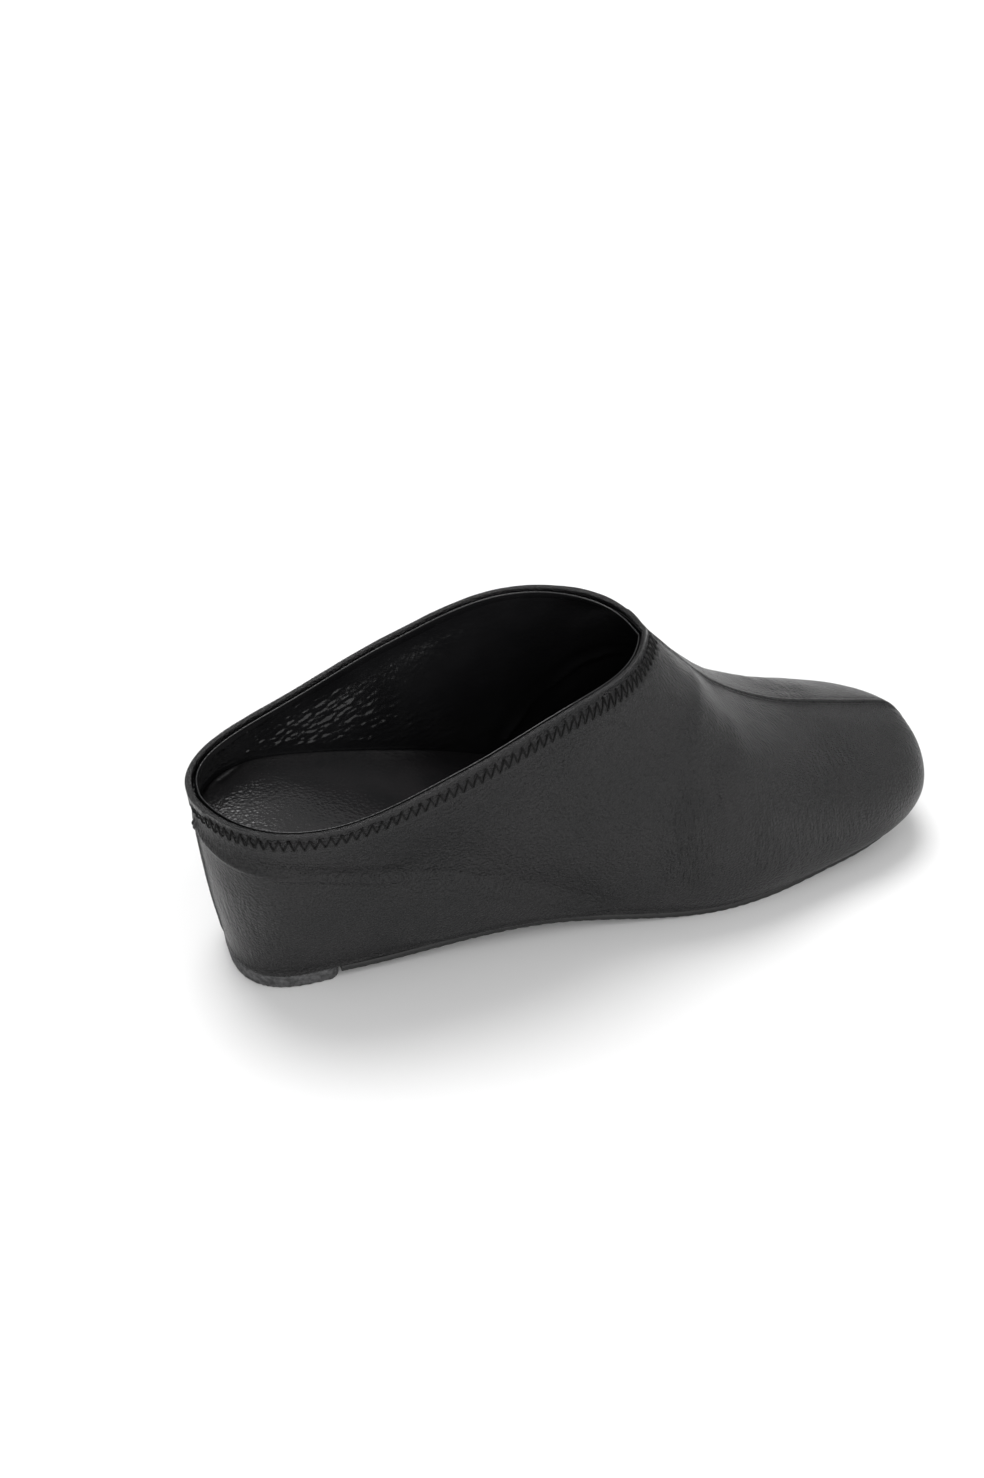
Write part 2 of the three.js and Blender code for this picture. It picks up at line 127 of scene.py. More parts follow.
stations = [0, 0.15, 0.4, 0.66, 0.86, 1]
quarters = [0, 0.25, 0.5, 0.75, 1]
outer_half = through(stations, [0.33, 0.338, 0.417, 0.523, 0.415, 0.355])
inner_half = through(stations, [0.325, 0.325, 0.352, 0.475, 0.461, 0.431])
tuck = through(stations, [0.063, 0.06, 0.035, 0.047, 0.052, 0.052])
middle = through(stations, [0, 0.004, 0.067, 0.059, 0.021, 0])
girth_share = through([0, 0.25, 0.5, 0.7, 1], [0.81, 0.5, 0.37, 0.33, 0.33])
squareness = through([0, 0.25, 0.5, 0.7, 1], [0.3, 0.3, 0.4, 0.55, 0.55])
rim_rise = through(quarters, [0, 0.154, 0.6, 1.04, 1])
outer_roundness = through(quarters, [1.25, 0.69, 0.61, 1.1, 1.6])
inner_roundness = through(quarters, [0.78, 0.82, 0.61, 0.45, 0.62])
seam_drop = through(quarters, [0, 0.486, 0.758, 0.894, 1])
bed_rise = through([0, 0.1, 0.2, 0.3, 0.42, 0.55, 0.64, 1], [1, 0.99, 0.88, 0.67, 0.37, 0.1, 0, 0])


# %% Lines of the last
def round_end(distance, cap):
    """The rounding of an end: 0 at the very end and 1 past the cap, as a superellipse."""
    reach, power = cap
    left = 1 - np.clip(distance / reach, 0, 1)
    return (1 - left**power) ** (1 / power)


def middle_line(x):
    """The sideways place of the shoe's middle line, which swings to the inner side."""
    return middle(x / length) * ball_width


def ground_line(x):
    """The outsole's underside: a step at the breast, the arch, the flat and the toe spring."""
    at = x / length
    u = np.clip((at - heel_breast_at) / (flat_from - heel_breast_at), 0, 1)
    back = (heel_piece_thickness - outsole_thickness) * (1 - u) + arch_rise * np.sin(np.pi * u) ** 2
    front = toe_spring * (np.maximum(at - flat_to, 0) / (1 - flat_to)) ** 1.8
    return np.where(at < flat_from, back, front)


def feather(x):
    """The height at which the leather ends on the outsole."""
    return ground_line(x) + outsole_thickness + gap


def bed(x):
    """The height of the foot bed along its middle."""
    low = feather(x) + insole_thickness
    seat = seat_height - feather(0.0) - insole_thickness
    return low + seat * np.maximum(bed_rise(x / length), 0)


def outline(t, side, on_sole):
    """Heel to toe, t from 0 to 1: x by a half cosine, y by the half-width times both end roundings."""
    at = (1 - np.cos(np.pi * t)) / 2
    share = (outer_half(at) if side == OUTER else inner_half(at)) - (tuck(at) if on_sole else 0)
    heel_rounding = round_end(at, sole_heel_cap if on_sole else heel_cap)
    half = share * ball_width * heel_rounding * round_end(1 - at, toe_cap)
    start = sole_setback_heel if on_sole else 0
    end = length - sole_setback_toe if on_sole else length
    return mix(start, end, at), side * half + middle_line(at * length)


def rim(angle, side):
    """The top line, from the back at angle 0 to the throat at pi: a half-width times a sine's power."""
    share = (1 - np.cos(angle)) / 2
    x = share * throat_at * length
    roundness = (outer_roundness if side == OUTER else inner_roundness)(angle / np.pi)
    half = collar_width / 2 * np.abs(np.sin(angle)) ** roundness
    z = mix(back_height, throat_height, rim_rise(share))
    return np.stack([x, side * half + middle_line(x), z], -1)


def unit(vectors):
    """Each vector divided by its length."""
    return vectors / np.maximum(np.linalg.norm(vectors, axis=-1, keepdims=True), 1e-9)


def rim_up(angle):
    """The way out of the material at the rim: straight up at the sides, up the vamp in front."""
    lean = unit(np.array([-0.62, 0, 0.78]))
    front = smooth(angle / np.pi, 0.45, 1)[..., None]
    return unit(mix(np.array([0, 0, 1.0]), lean, front))


edge_drop = binding_height + gap
throat_edge = (rim(np.array([np.pi]), INNER) - rim_up(np.array([np.pi])) * edge_drop)[0]
print("throat edge:", throat_edge.round(1))

# %% [markdown]
# The skin
#
# One half of the upper is a sheet with two directions: ribs that follow each other from the back seam
# to the toe, and rows that climb each rib from the sole to the top. Up to the throat a rib ends on the
# collar, and past it on the vamp's seam. A rib is two cubic curves that meet at the widest line. Evenly
# spaced ribs would waste points on plain sides, so they crowd at the seams, where the relief is.


# %% Ribs and rows
def crowded(count, *crowds):
    """count + 1 places from 0 to 1. Each crowd is a place, a width and how much denser it is there."""
    u = np.linspace(0, 1, 2001)
    density = np.ones(len(u))
    for place, width, more in crowds:
        density = density + more * np.exp(-(((u - place) / width) ** 2))
    total = np.concatenate([[0], np.cumsum((density[1:] + density[:-1]) / 2)])
    return np.interp(np.linspace(0, 1, count + 1), total / total[-1], u)


throat_share = throat_at + 0.03
throat_t = math.acos(1 - 2 * throat_share) / math.pi
rib_spread = 0.4


def cubic(a, b, c, d, u):
    """Points on the cubic curves with ends a and d and handles b and c, for each row's share u."""
    a, b, c, d = (p[:, None, :] for p in (a, b, c, d))
    u = u[None, :, None]
    return a * (1 - u) ** 3 + 3 * b * u * (1 - u) ** 2 + 3 * c * u * u * (1 - u) + d * u**3


def skin(side, collar, vamp, lower, upper):
    """One half: a grid of ribs by rows. Each argument after the side lists shares from 0 to 1."""
    angle = np.pi * collar
    t = np.concatenate([
        throat_t * np.sin(rib_spread * angle) / math.sin(rib_spread * math.pi),
        mix(throat_t, 1, vamp[1:]),
    ])
    share = ((1 - np.cos(np.pi * t[len(collar):])) / 2 - throat_share) / (1 - throat_share)
    seam_x = mix(throat_edge[0], toe_top_at * length, share)
    seam_y = middle_line(seam_x) + seam_drift * ball_width * smooth(share, 0, 1)
    seam_z = mix(throat_edge[2], toe_height, seam_drop(share))
    seam = np.stack([seam_x, seam_y, seam_z], -1)
    top = np.concatenate([rim(angle, side) - rim_up(angle) * edge_drop, seam])
    flat = np.concatenate([smooth(collar, 0.25, 0.95), np.ones(len(vamp) - 1)])[:, None]
    sole_x, sole_y = outline(t, side, True)
    wide_x, wide_y = outline(t, side, False)
    bottom = np.stack([sole_x, sole_y, feather(sole_x)], -1)
    at = wide_x / length
    reach = np.minimum(top[:, 2], back_height + 6) - bottom[:, 2]
    girth = np.stack([wide_x, wide_y, bottom[:, 2] + reach * girth_share(at)], -1)
    up = np.array([0, 0, 1.0])
    level = np.array([1.0, 1.0, 0])
    rounding = smooth(at, 0.3, 0.7)[:, None]
    rise = girth[:, 2:] - bottom[:, 2:]
    low = bottom + (girth - bottom) * level * mix(0.35, 0.7, rounding) + up * rise * mix(0.3, 0.15, rounding)
    under = girth - up * rise * 0.4
    rise = top[:, 2:] - girth[:, 2:]
    over = girth + up * rise * squareness(at)[:, None]
    high = top + (girth - top) * level * mix(0.25, 0.55, flat) - up * rise * mix(0.4, 0.06, flat)
    lower_part = cubic(bottom, low, under, girth, lower)
    upper_part = cubic(girth, over, high, top, upper)
    return drawn(np.concatenate([lower_part, upper_part[:, 1:]], 1), len(collar) - 1)


def run_from(grid, axis):
    """Distance along the surface from the first rib or row, by adding up the steps."""
    steps = np.linalg.norm(np.diff(grid, axis=axis), axis=-1)
    start = np.zeros_like(np.take(steps, [0], axis=axis))
    return np.concatenate([start, np.cumsum(steps, axis=axis)], axis)


def from_top_of(grid):
    """Distance down the surface from its top row."""
    return run_from(grid[:, ::-1], 1)[:, ::-1]


def softened(grid, reach):
    """Each row as a running mean along itself; reach is each point's half-window in mm."""
    run = run_from(grid, 0)
    result = grid.copy()
    for row in range(grid.shape[1]):
        s = run[:, row]
        window = np.minimum(reach[:, row], np.minimum(s, s[-1] - s))
        wide = window > 0.05
        window = np.where(wide, window, 1)
        for k in range(3):
            value = grid[:, row, k]
            total = np.concatenate([[0], np.cumsum((value[1:] + value[:-1]) / 2 * np.diff(s))])
            mean = (np.interp(s + window, s, total) - np.interp(s - window, s, total)) / (2 * window)
            result[:, row, k] = np.where(wide, mean, value)
    return result


def drawn(grid, throat_rib):
    """The skin as leather draws it: no corner runs down from the throat, where collar and vamp meet."""
    run = run_from(grid, 0)
    from_throat = run - run[throat_rib]
    from_top = from_top_of(grid)
    from_sole = run_from(grid, 1)
    widest = 17
    near_throat = np.exp(-((from_throat / 26) ** 2))
    reach = widest * near_throat * smooth(from_top, 0.5, 17) * smooth(from_sole, 3, 20)
    return softened(softened(grid, reach), reach)


def normals_of(grid, side):
    """Outward normals: the slope along the ribs crossed with the slope up the rows."""
    along = np.gradient(grid, axis=0)
    climb = np.gradient(grid, axis=1)
    return unit(np.cross(along, climb) * (1 if side == OUTER else -1))


def both_normals(halves):
    """Normals of the two halves, made equal where they meet, at the back, the toe and the vamp."""
    normals = {side: normals_of(halves[side][0], side) for side in halves}
    collar_ribs = halves[OUTER][1]
    mean = unit(normals[OUTER] + normals[INNER])
    for own in normals.values():
        own[0] = mean[0]
        own[-1] = mean[-1]
        own[collar_ribs:, -1] = mean[collar_ribs:, -1]
    return normals


collar_places = crowded(230, (0, 0.03, 3.5), (1, 0.03, 1))
vamp_places = crowded(120, (1, 0.06, 5))
lower_places = crowded(44, (0, 0.06, 2))
upper_places = crowded(74, (1, 0.1, 5))
skins = {s: skin(s, collar_places, vamp_places, lower_places, upper_places) for s in (OUTER, INNER)}
normals = both_normals({s: (skins[s], len(collar_places) - 1) for s in skins})
print("skin grid:", skins[OUTER].shape)
print("skins from", skins[OUTER].min((0, 1)).round(1), "to", skins[INNER].max((0, 1)).round(1))

# %% [markdown]
# From millimetres to the frame
#
# The solids stand in the frame with their box centred, so the last's own origin has to be found again.
# The upper's solid starts at the last's x of 0, and its middle in y is the middle of both skins.

# %% Place in the frame
upper_low, upper_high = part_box("upper")
skin_low = min(skins[s][..., 1].min() for s in skins)
skin_high = max(skins[s][..., 1].max() for s in skins)
shift = np.array([
    1000 * upper_low.x - min(skins[s][..., 0].min() for s in skins),
    500 * (upper_low.y + upper_high.y) - (skin_low + skin_high) / 2,
    0,
])
print("shift in mm:", shift.round(2))


def to_frame(points):
    """Millimetres on the last to metres in the frame."""
    return (np.asarray(points) + shift) / 1000


# %% [markdown]
# Making meshes
#
# Every piece is a closed surface. A shell is two grids of the same size, one for each face, joined
# round their border. A ring is a section carried round a closed line. Both only need index arithmetic
# on whole arrays, and from_pydata takes the result.


# %% Meshes from grids
def grid_quads(rows, columns, start=0):
    """Index quads of a grid whose points are numbered row by row."""
    i, j = np.meshgrid(np.arange(rows - 1), np.arange(columns - 1), indexing="ij")
    a = (start + i * columns + j).ravel()
    return np.stack([a, a + columns, a + columns + 1, a + 1], -1)


def shell_faces(rows, columns):
    """Two grids, outer first: quads on both faces, and a strip that joins their borders."""
    count = rows * columns
    index = np.arange(count).reshape(rows, columns)
    border = np.concatenate([index[:-1, 0], index[-1, :-1], index[:0:-1, -1], index[0, :0:-1]])
    following = np.roll(border, -1)
    strip = np.stack([following, border, border + count, following + count], -1)
    return np.concatenate([grid_quads(rows, columns), grid_quads(rows, columns, count)[:, ::-1], strip])


def shell(outside, inside):
    """Points and faces of a closed shell between two grids of the same size."""
    points = np.concatenate([outside.reshape(-1, 3), inside.reshape(-1, 3)])
    return points, shell_faces(*outside.shape[:2])


def ring_faces(loops, corners):
    """Quads of a tube that closes on itself both ways."""
    i, k = np.meshgrid(np.arange(loops), np.arange(corners), indexing="ij")
    here, ahead = i * corners, (i + 1) % loops * corners
    following = (k + 1) % corners
    return np.stack([here + k, ahead + k, ahead + following, here + following], -1).reshape(-1, 4)


def make_piece(name, points, faces, material, flip=False):
    """A smooth-shaded object whose place is in its mesh, riding on the shoe's one body."""
    mesh = bpy.data.meshes.new(name)
    faces = np.asarray(faces)
    ordered = faces[:, ::-1] if flip else faces
    mesh.from_pydata(to_frame(np.asarray(points).reshape(-1, 3)).tolist(), [], ordered.tolist())
    mesh.polygons.foreach_set("use_smooth", np.ones(len(faces), bool))
    mesh.materials.append(material)
    piece = bpy.data.objects.new(name, mesh)
    bpy.context.scene.collection.objects.link(piece)
    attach(piece, "root")
    print(name, len(mesh.vertices), "points", 2 * len(faces), "triangles")
    return piece


def set_attribute(piece, name, values):
    """A number for each point of the mesh, for a material to read."""
    attribute = piece.data.attributes.new(name, "FLOAT", "POINT")
    attribute.data.foreach_set("value", np.asarray(values, np.float32).ravel())


def set_uv(piece, along, climb):
    """A UV map from two numbers for each point, in metres on the piece."""
    corners = np.empty(len(piece.data.loops), np.int32)
    piece.data.loops.foreach_get("vertex_index", corners)
    uv = np.stack([np.ravel(along)[corners], np.ravel(climb)[corners]], -1) / 1000
    layer = piece.data.uv_layers.new(name="surface")
    layer.data.foreach_set("uv", uv.astype(np.float32).ravel())


# %% [markdown]
# Node materials
#
# A finish could be painted, but the part has to hold up from every side and at any size, so each one
# is made of noise and cells at real sizes. One function turns the hex colours, which are what a
# screen shows, into the linear values that the renderer mixes, and one function adds a node.


# %% Helpers for materials
def linear(hex_colour):
    """sRGB hex to linear red, green, blue and an alpha of 1."""
    values = np.array([int(hex_colour[i:i + 2], 16) for i in (1, 3, 5)]) / 255
    curve = np.where(values <= 0.04045, values / 12.92, ((values + 0.055) / 1.055) ** 2.4)
    return (*curve.tolist(), 1)


def set_sockets(tree, node, sockets):
    """A socket that is given an output is linked to it; any other value is set on it."""
    for name, value in sockets.items():
        if isinstance(value, bpy.types.NodeSocket):
            tree.links.new(value, node.inputs[name])
        else:
            node.inputs[name].default_value = value


def add(tree, kind, sockets=None, **settings):
    """Adds one node with its settings and its sockets, named or numbered."""
    made = tree.nodes.new(kind)
    for name, value in settings.items():
        setattr(made, name, value)
    set_sockets(tree, made, sockets or {})
    return made


def new_material(name):
    """An empty node material with its shader and its output, and the Object coordinates."""
    material = bpy.data.materials.new(name)
    material.use_nodes = True
    tree = material.node_tree
    tree.nodes.clear()
    shader = add(tree, "ShaderNodeBsdfPrincipled")
    add(tree, "ShaderNodeOutputMaterial", {"Surface": shader.outputs["BSDF"]})
    place = add(tree, "ShaderNodeTexCoord").outputs["Object"]
    return material, tree, shader, place


def per_size(millimetres):
    """A texture scale for a pattern of this size, in a frame of metres."""
    return 1000 / millimetres


def noise(tree, place, size, detail=3.0, rough=0.55):
    """A noise texture whose largest blots have this size in millimetres."""
    sockets = {"Vector": place, "Scale": per_size(size), "Detail": detail, "Roughness": rough}
    return add(tree, "ShaderNodeTexNoise", sockets).outputs["Fac"]


def relief(tree, heights):
    """Bumps stacked in order. Each height is an output from 0 to 1 and its depth in millimetres."""
    below = {}
    for height, depth in heights:
        sockets = {"Height": height, "Distance": depth / 1000, "Strength": 1.0, **below}
        below = {"Normal": add(tree, "ShaderNodeBump", sockets).outputs["Normal"]}
    return below["Normal"]


def blend_colours(tree, share, first, second):
    """One hex colour where the share is 0, the other where it is 1."""
    ramp = add(tree, "ShaderNodeValToRGB", {"Fac": share})
    for stop, position, colour in zip(ramp.color_ramp.elements, (0.35, 0.65), (first, second)):
        stop.position = position
        stop.color = linear(colour)
    return ramp.outputs["Color"]


def spread(tree, value, low, high):
    """Turns an output from 0 to 1 into one from low to high."""
    sockets = {"Value": value, "To Min": low, "To Max": high}
    return add(tree, "ShaderNodeMapRange", sockets).outputs["Result"]


def product(tree, a, b):
    """One output times another."""
    return add(tree, "ShaderNodeMath", {0: a, 1: b}, operation="MULTIPLY").outputs["Value"]


# %% [markdown]
# The upper's leather
#
# Black drum-dyed nappa: full-grain sheepskin with a thin aniline finish, drawn wet over the last. The
# eye sees a satin, not a gloss: dark grey where it mirrors the white room, paler along edges that turn
# away, a fine pebble of pores, and patches of fine wrinkles where the skin was gathered. The wrinkles
# follow the surface, so they read the piece's own map and a mask that says where the skin is gathered.


# %% Nappa leather, drum-dyed
def nappa(name, dark, pale, rough_low, rough_high, wrinkled):
    """Satin leather: colour blots, pores and pebble in object space, and wrinkles from the map."""
    material, tree, shader, place = new_material(name)
    # The pebble of nappa is about 0.6 mm; it is drawn at 0.9 mm so that it shows in the picture.
    pebble_sockets = {"Vector": place, "Scale": per_size(0.9), "Smoothness": 0.5}
    pebble = add(tree, "ShaderNodeTexVoronoi", pebble_sockets, feature="SMOOTH_F1").outputs["Distance"]
    pores = noise(tree, place, 0.8, 4.0, 0.65)
    heights = [(noise(tree, place, 8, 3.0), 0.22), (pebble, 0.42), (pores, 0.55)]
    if wrinkled:
        uv = add(tree, "ShaderNodeUVMap", uv_map="surface").outputs["UV"]
        turned = add(tree, "ShaderNodeMapping", {"Vector": uv, "Scale": (1.0, 0.22, 1.0)})
        lines = noise(tree, turned.outputs["Vector"], 1.7, 3.0, 0.6)
        mask = add(tree, "ShaderNodeAttribute", attribute_name="wrinkled").outputs["Fac"]
        heights.append((product(tree, lines, mask), 1.8))
    set_sockets(tree, shader, {
        "Base Color": blend_colours(tree, noise(tree, place, 22, 2.0), dark, pale),
        "Normal": relief(tree, heights),
        "Roughness": spread(tree, noise(tree, place, 5, 4.0), rough_low, rough_high),
        "IOR": 1.37,
    })
    return material


upper_leather = nappa("nappa_leather_drum_dyed", "#0e0e0f", "#141314", 0.26, 0.36, True)
folded_leather = nappa("nappa_leather_folded_edge", "#0e0e0f", "#141314", 0.16, 0.24, False)

# %% [markdown]
# Lining, sock and thread
#
# The lining is thin coated sheepskin, blacker and shinier than the outside, with crinkles from being
# glued into a hollow. The sock over the insole is the same skin on foam. The thread is bonded
# polyester, twisted and nearly black, a little darker than the leather it lies on.


# %% Coated sheepskin, polyester thread
def coated_skin(name, dark, pale, rough_low, rough_high, crinkle):
    """Glossier skin: small crinkled cells under a fine noise."""
    material, tree, shader, place = new_material(name)
    bent = add(tree, "ShaderNodeMapping", {"Vector": place, "Scale": (1.0, 1.0, 0.6)}).outputs["Vector"]
    cells = add(tree, "ShaderNodeTexVoronoi", {"Vector": bent, "Scale": per_size(1.2)}, feature="F1")
    grain = noise(tree, place, 0.9, 4.0)
    swell = noise(tree, place, 7, 4.0, 0.6)
    heights = [(swell, crinkle), (cells.outputs["Distance"], 0.08), (grain, 0.06)]
    set_sockets(tree, shader, {
        "Base Color": blend_colours(tree, noise(tree, place, 15, 2.0), dark, pale),
        "Normal": relief(tree, heights),
        "Roughness": spread(tree, noise(tree, place, 4, 3.0), rough_low, rough_high),
        "IOR": 1.4,
    })
    return material


lining_leather = coated_skin("sheepskin_lining_coated", "#121213", "#171718", 0.15, 0.24, 0.3)
sock_leather = coated_skin("sheepskin_sock_coated", "#131314", "#181718", 0.14, 0.2, 0.04)


def polyester_thread():
    """Twisted thread: a fine band across its run, on a nearly black matt fibre."""
    material, tree, shader, place = new_material("polyester_thread_bonded")
    twist = noise(tree, place, 0.5, 2.0)
    set_sockets(tree, shader, {
        "Base Color": linear("#080808"),
        "Normal": relief(tree, [(twist, 0.1)]),
        "Roughness": 0.8,
        "IOR": 1.3,
    })
    return material


thread_material = polyester_thread()

# %% [markdown]
# Sole and wedge materials
#
# The outsole is calendered rubber sheet, dark and matt with a fine even grain. The heel piece is
# crumb-filled rubber, paler and coarser. The wedge is moulded EVA foam, which nobody sees in the
# finished shoe, but a cut would show its closed cells.


# %% Calendered rubber, crumb rubber, EVA foam
def granular(name, dark, pale, grain_size, depth, roughness):
    """A matt mass of grains: cells of the grain's size, with fine noise on top."""
    material, tree, shader, place = new_material(name)
    sockets = {"Vector": place, "Scale": per_size(grain_size)}
    grains = add(tree, "ShaderNodeTexVoronoi", sockets, feature="F1")
    heights = [(grains.outputs["Distance"], depth), (noise(tree, place, grain_size / 2, 4.0), depth)]
    set_sockets(tree, shader, {
        "Base Color": blend_colours(tree, noise(tree, place, grain_size * 1.5, 3.0), dark, pale),
        "Normal": relief(tree, heights),
        "Roughness": roughness,
    })
    return material


sole_rubber = granular("rubber_sheet_calendered", "#141414", "#1b1b1b", 0.8, 0.06, 0.62)
heel_rubber = granular("rubber_crumb_filled", "#242425", "#4a4a4b", 1.1, 0.25, 0.7)
wedge_foam = granular("eva_foam_moulded", "#242424", "#2e2e2e", 1.4, 0.2, 0.85)
wedge_material_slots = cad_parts["wedge"].material_slots
wedge_material_slots[0].material = wedge_foam

# %% [markdown]
# Relief of the leather
#
# Seams, the edge of the seat board under the skin, and creases are shape, not paint: each is a height
# in millimetres, added along the normal. Most of them depend on the distance to a line on the shoe,
# so the distance of every grid point to a line is worked out in one product of arrays.


# %% Distances and heights
def distance_to(points, line, keep=(1, 1, 1)):
    """Distance of each point to the nearest point of a dense line; keep drops an axis with a 0."""
    flat = points.reshape(-1, 3) * keep
    line = np.asarray(line) * keep
    nearest = []
    most_at_once = 4_000_000
    for part in np.array_split(flat, max(len(flat) * len(line) // most_at_once, 1)):
        squares = (part**2).sum(1)[:, None] + (line**2).sum(1)[None] - 2 * part @ line.T
        nearest.append(squares.min(1))
    return np.sqrt(np.maximum(np.concatenate(nearest), 0)).reshape(points.shape[:-1])


def dense(points, step=0.8):
    """A smooth line through a few chosen points, filled in every step millimetres."""
    points = np.asarray(points, float)
    run = run_from(points, 0)
    places = np.linspace(0, run[-1], max(int(run[-1] / step), 2))
    return np.stack([through(run, points[:, k])(places) for k in range(points.shape[1])], -1)


def points_along(line, run, at):
    """Points of a line at these distances along it, by straight pieces."""
    return np.stack([np.interp(at, run, line[:, k]) for k in range(line.shape[1])], -1)


def dense_straight(line, step=0.5):
    """A line filled in every step millimetres by straight pieces."""
    run = run_from(line, 0)
    return points_along(line, run, np.arange(0, run[-1], step))


def mound(distance, width):
    """1 on the line and falling away as a bell curve of this half-width."""
    return np.exp(-((distance / width) ** 2))


def unevenness(points, size, seed):
    """A soft random height: the sum of twelve sine waves of about this size, in random directions."""
    draw = np.random.default_rng(seed)
    ways = unit(draw.normal(size=(12, 3)))
    waves = 2 * np.pi / (size * draw.uniform(0.7, 1.5, 12))
    phases = draw.uniform(0, 2 * np.pi, 12)
    return np.sin(points @ (ways * waves[:, None]).T + phases).sum(-1) / 12**0.5


# %% The zigzag's needle holes
# The zigzag holds the binding down. Its holes alternate between two depths below the rim.
stitch_pitch = 3.05

half_ring = 1500
ring_angles = np.linspace(0, np.pi, half_ring)
ring_raw = np.concatenate([rim(ring_angles, OUTER), rim(ring_angles[::-1], INNER)[1:-1]])
closed_angles = np.concatenate([ring_angles, ring_angles[::-1][1:]])
closed = np.concatenate([ring_raw, ring_raw[:1]])
ring_run = run_from(closed, 0)
rim_length = ring_run[-1]
print("rim is", round(rim_length, 1), "mm long")


def ring_at(run):
    """Points of the rim at these distances along it, with the way up and the way out there."""
    run = np.asarray(run) % rim_length
    points = points_along(closed, ring_run, run)
    up = rim_up(np.interp(run, ring_run, closed_angles))
    reach = 2.2
    ahead = points_along(closed, ring_run, (run + reach) % rim_length)
    behind = points_along(closed, ring_run, (run - reach) % rim_length)
    out = -np.cross(up, ahead - behind)
    out = unit(out - up * (out * up).sum(-1, keepdims=True))
    return points, up, out


def on_leather(run, depth):
    """Points of the skin at these depths below the rim, from the two ribs beside each place."""
    run = np.asarray(run) % rim_length
    points = np.empty((len(run), 3))
    half = np.searchsorted(ring_run, run) < half_ring
    depth = np.broadcast_to(depth, run.shape)
    angle = np.interp(run, ring_run, closed_angles)
    for side in (OUTER, INNER):
        grid = skins[side][:len(collar_places), ::-1]
        down = run_from(grid, 1)
        chosen = half if side == OUTER else ~half
        rib = np.interp(angle[chosen] / np.pi, collar_places, np.arange(len(grid)))
        first = np.minimum(rib.astype(int), len(grid) - 2)
        wanted = depth[chosen] - edge_drop
        for k in range(3):
            pair = [
                np.array([np.interp(d, down[i], grid[i, :, k]) for i, d in zip(ribs, wanted)])
                for ribs in (first, first + 1)
            ]
            points[chosen, k] = mix(pair[0], pair[1], rib - first)
    return points


# The outside of the fold goes on from the leather below it with the same slope, and ends upright.
shoulder_drop = 0.7
shoulder_out = 0.32


def outer_face(run, shares):
    """Cubic curves from the leather's top edge, share 0, to the fold's shoulder, share 1."""
    points, up, out = ring_at(run)
    edge = points - up * edge_drop
    climb = unit(edge - on_leather(run, edge_drop + 1.6))
    shoulder = points - up * shoulder_drop + out * shoulder_out
    reach = (edge_drop - shoulder_drop) / 3
    first, second = edge + climb * reach, shoulder - up * reach
    return cubic(edge, first, second, shoulder, np.asarray(shares))


def hole_depth(run, at_heel, at_throat):
    """The depth of a row of holes below the rim: the zigzag sits lower towards the throat."""
    forward = 1 - np.abs(2 * run / rim_length - 1)
    return mix(at_heel, at_throat, smooth(forward, 0.25, 0.6))


def on_shoe(run, depth):
    """Points on the fold where the depth is less than its edge, and on the leather below it."""
    share = np.clip((edge_drop - depth) / (edge_drop - shoulder_drop), 0, 1)
    steps = 40
    fold = outer_face(run, np.linspace(0, 1, steps + 1))
    on_fold = fold[np.arange(len(run)), np.rint(share * steps).astype(int)]
    return np.where((depth < edge_drop)[:, None], on_fold, on_leather(run, depth))


stitches = int(round(rim_length / stitch_pitch))
half_pitch = 0.5 * rim_length / stitches
hole_runs = 2 * half_pitch * np.arange(stitches)
# Along the sides the lower holes lean towards the toe.
middle_runs = hole_runs + half_pitch
forward = 1 - np.abs(2 * middle_runs / rim_length - 1)
lean = 1.1 * smooth(forward, 0.3, 0.55) * (1 - smooth(forward, 0.9, 1))
lower_runs = middle_runs + lean * np.sign(rim_length / 2 - middle_runs)
upper_depths = hole_depth(hole_runs, 2.0, 2.8)
lower_depths = hole_depth(lower_runs, 5.9, 8.2)
lower_holes = on_leather(lower_runs, lower_depths)
upper_holes = on_shoe(hole_runs, upper_depths)
print("zigzag:", stitches, "stitches each way")

# %% [markdown]
# The two halves of the upper
#
# Each half is a sheet 0.9 mm thick. At the back the halves are butted and the seam is pressed open,
# which leaves a groove between two raised lips. Along the vamp the outer half laps over the inner one.
# The seat board's edge shows as a soft ridge round the heel, which widens and fades towards the waist.

# %% Lines that the relief follows
leather_thickness = 0.9
vamp_start = len(collar_places) - 1
vamp_seam = dense_straight(np.concatenate([skins[OUTER][vamp_start:, -1], skins[OUTER][-1, ::-1]]), 0.25)
back_seam = dense_straight(skins[OUTER][0], 0.25)

# The seat board's edge: places along the shoe in mm, and its heights over the ground.
board_edge = np.array([
    [0, 53.2], [2, 52.7], [9, 51.6], [19, 50], [28, 48], [36.5, 45], [48, 41.4], [61, 39], [73.5, 35.7],
    [82, 31], [94, 25], [107, 18.6], [120, 12], [134, 8],
])


def board_height(x):
    """The height of the board's edge at each x, by a smooth curve through the chosen places."""
    return through(board_edge[:, 0], board_edge[:, 1])(x)


